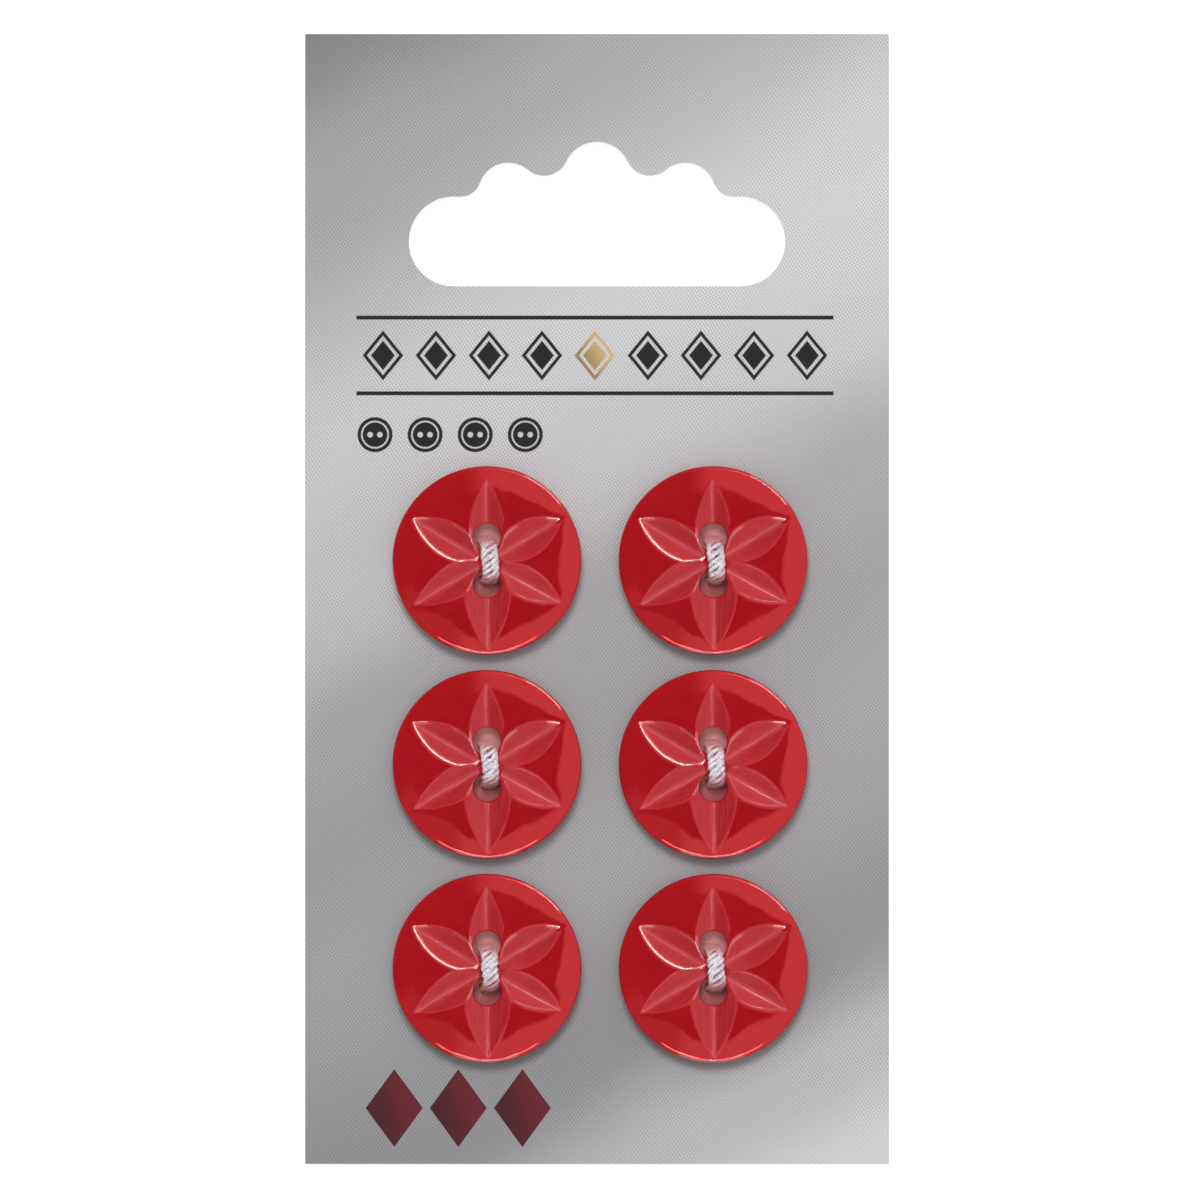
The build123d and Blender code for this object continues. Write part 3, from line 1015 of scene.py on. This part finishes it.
def threadMaterial(cardFront, face):
    look = threadLook
    material = bpy.data.materials.new("white_yarn")
    g = Graph(material)
    along, spin, far = g.axes(g.add("Attribute", out=1, attribute_name="yarn"))
    fineAlong, fineRound = look["fibres"]
    parts = [g.calc("MULTIPLY", along, fineAlong), g.calc("MULTIPLY", spin, fineRound), along]
    lines = g.noise(g.add("CombineXYZ", dict(enumerate(parts))), 1.0, 3.0, 0.6)
    place = g.place()
    fluff = g.noise(place, look["fluffScale"], 3.0, 0.6)
    # the plies' inner sides are painted darker, a painted shade in the crevices, and patches paint bright
    # tufts against shade
    share = g.calc("MULTIPLY_ADD", lines, 0.5, g.calc("MULTIPLY_ADD", g.step(far, 0.5, 0.95), 0.45, -0.15))
    paintedTufts = g.step(g.noise(place, look["paintedTuftScale"], 2.0, 0.6), 0.42, 0.58)
    share = g.calc("MULTIPLY_ADD", paintedTufts, 0.7, g.calc("SUBTRACT", share, 0.1))
    colour = g.blend(share, look["shadeWhite"], look["white"])

    # inside the button the yarn is painted with its red light and shade, and where it passes the card with
    # the card's painted red light
    height = g.axes(place)[2]
    aboveCard = g.step(height, cardFront - 0.4, cardFront)
    sunk = g.both(g.step(height, face + 0.45, face - 0.35), aboveCard)
    colour = g.blend(g.calc("MULTIPLY", sunk, look["holeRedShare"]), colour, look["holeRed"])
    floor = g.blend(g.step(spin, -0.5, 0.5), *look["floorRed"])
    wad = g.both(g.step(far, -0.3, -0.7), g.step(height, cardFront - 0.3, cardFront - 0.1))
    colour = g.blend(wad, colour, floor)
    lift = g.calc("MULTIPLY_ADD", fluff, 0.6, lines)
    rough = g.calc("MULTIPLY_ADD", fluff, look["fluffRoughness"], look["roughness"])
    g.finish(colour, rough, lift, look["relief"],
             {"Sheen Weight": look["sheen"], "Specular IOR Level": look["specular"]})
    return material


cardLow, cardHigh = boxOf("backing_card")
yarnWhite = threadMaterial(float(cardHigh[2]), float(boxOf("button_top_left")[1][2]))
for number, placeName in enumerate(placeNames):
    low, high = boxOf("thread_" + placeName)
    buttonLow, buttonHigh = boxOf("button_" + placeName)
    middle = np.array([(buttonLow[0] + buttonHigh[0]) / 2, (buttonLow[1] + buttonHigh[1]) / 2, 0])
    points, faces, yarn = threadMesh(low[2], high[2], cardLow[2], cardHigh[2], number)
    piece = meshPiece("yarn_" + placeName, points + middle, faces, yarnWhite, {"yarn": yarn})
    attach(piece, "root")
    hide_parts("thread_" + placeName)
print("threads tied,", len(faces), "faces each")


# Studio: white table, soft light from above and from beyond the head of the card, a pale tent that the
# buttons reflect, and rows of small far lamps for the bright lines on their edges
studio = {
    "tableWhite": 0.82,
    "tableLift": 0.72,
    "tableGap": 0.01,
    "tableHalf": 3000.0,
    # each lamp or row of lamps: name, directions, angle from the vertical, how wide it looks, strength
    "softLamps": (("overheadSoftbox", (90,), 4, 40, 0.40), ("headSoftbox", (98,), 23, 20, 1.68)),
    "glintLamps": (("upperGlint", range(40, 76, 7), 31.6, 4.2, 0.10),
                   ("lowerGlint", range(254, 285, 10), 20.0, 4.2, 0.11),
                   ("ridgeGlint", (244, 296), 21.0, 5.5, 0.06)),
    "ambient": 0.355,
    "rightWall": 1.5,
    "leftWall": 0.08,
    "wallTurn": -8,
    "wallFade": (-0.42, -0.06),
    "lowWall": 0.35,
    "lowWallFade": (-0.25, -0.5),
    "cameraHole": 9.8,  # half angle of the tent's opening round the camera
    "holeFade": 0.004,
    "holeWobble": 0.06,
    "wobbleScale": 11.0,
    "patchScale": 17.0,  # faint patches in that opening
    "patchRange": (0.52, 0.60),
    "frameWidth": 103.0,
    "sensorWidth": 36,
    "cameraDistance": 2700.0,
    "cameraPlace": (0.26, -0.09),
}


def tableMaterial():
    material = bpy.data.materials.new("white_table")
    g = Graph(material)
    grain = g.noise(g.add("TexCoord", out=3), 9.0, 2.0)
    shade = g.blend(grain, (studio["tableWhite"] * 0.99,) * 3, (studio["tableWhite"],) * 3)
    shader = g.nodes["Principled BSDF"]
    g.feed(shader.inputs["Base Color"], shade)
    shader.inputs["Roughness"].default_value = 0.7
    seen = g.add("LightPath")
    g.feed(shader.inputs["Emission Strength"], g.calc("MULTIPLY", seen, studio["tableLift"]))
    shader.inputs["Emission Color"].default_value = (1, 1, 1, 1)
    plain = g.add("BsdfDiffuse", {"Color": shade})
    surface = g.add("MixShader", {0: seen, 1: plain, 2: shader.outputs[0]})
    g.feed(g.nodes["Material Output"].inputs["Surface"], surface)
    return material


def farLamps(name, azimuths, fromVertical, spread, strength, diffuse, glossy):
    for number, azimuth in enumerate(azimuths):
        lamp = bpy.data.lights.new(name + str(number), "SUN")
        lamp.angle = math.radians(spread)
        lamp.energy = strength
        holder = bpy.data.objects.new(lamp.name, lamp)
        holder.rotation_euler = (0, math.radians(fromVertical), math.radians(azimuth))
        holder.visible_diffuse = diffuse
        holder.visible_glossy = glossy
        bpy.context.scene.collection.objects.link(holder)


def tentWorld():
    # bright to the right, dimmer low down, dark to the left and in the camera's opening
    world = bpy.data.worlds.new("tent")
    g = Graph(world)
    way = g.add("TexCoord")
    x, y, z = g.axes(way)
    level = g.calc("SQRT", g.calc("MAXIMUM", g.calc("SUBTRACT", 1.0, g.calc("MULTIPLY", z, z)), 0.0001))
    turn = math.radians(studio["wallTurn"])
    lean = g.calc("ADD", g.calc("MULTIPLY", x, math.cos(turn)), g.calc("MULTIPLY", y, math.sin(turn)))
    right = g.step(g.calc("DIVIDE", lean, level), *studio["wallFade"])
    lower = g.calc("MULTIPLY", g.step(g.calc("DIVIDE", y, level), *studio["lowWallFade"]), studio["lowWall"])
    lit = g.either(right, lower)
    wall = g.calc("MULTIPLY_ADD", lit, studio["rightWall"] - studio["leftWall"], studio["leftWall"])
    hole = math.sin(math.radians(studio["cameraHole"]))
    waves = g.noise(way, studio["wobbleScale"], 2.0)
    wobble = g.calc("MULTIPLY_ADD", waves, studio["holeWobble"], -studio["holeWobble"] / 2)
    outside = g.step(g.calc("ADD", level, wobble), hole - studio["holeFade"], hole + studio["holeFade"])
    patches = g.step(g.noise(way, studio["patchScale"], 1.0), *studio["patchRange"])
    inside = g.calc("MULTIPLY", patches, studio["leftWall"])
    tent = g.calc("MULTIPLY_ADD", outside, g.calc("SUBTRACT", wall, inside), inside)

    # only reflections show the tent; everything else gets one even level, and the camera sees white
    glossy = g.add("LightPath", out=3)
    straight = g.add("LightPath", out=0)
    strength = g.calc("MULTIPLY_ADD", glossy, g.calc("SUBTRACT", tent, studio["ambient"]), studio["ambient"])
    background = g.nodes["Background"]
    g.feed(background.inputs["Strength"], g.either(strength, straight))
    background.inputs["Color"].default_value = (1, 1, 1, 1)
    return world


low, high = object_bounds()
half, level = studio["tableHalf"], low[2] / mm - studio["tableGap"]
corners = [(-half, -half, level), (half, -half, level), (half, half, level), (-half, half, level)]
table = meshPiece("table", corners, [(0, 1, 2, 3)], tableMaterial())
for row in studio["softLamps"]:
    farLamps(*row, diffuse=True, glossy=False)
for row in studio["glintLamps"]:
    farLamps(*row, diffuse=False, glossy=True)
bpy.context.scene.world = tentWorld()

camera = bpy.data.objects.new("camera", bpy.data.cameras.new("camera"))
camera.data.sensor_width = studio["sensorWidth"]
camera.data.lens = studio["sensorWidth"] * studio["cameraDistance"] / studio["frameWidth"]
camera.data.clip_start = 0.01
cameraX, cameraY = studio["cameraPlace"]
camera.location = (cameraX * mm, cameraY * mm, (cardHigh[2] + studio["cameraDistance"]) * mm)
bpy.context.scene.collection.objects.link(camera)
bpy.context.scene.camera = camera
bpy.context.scene.view_settings.view_transform = "Standard"
print("studio set")
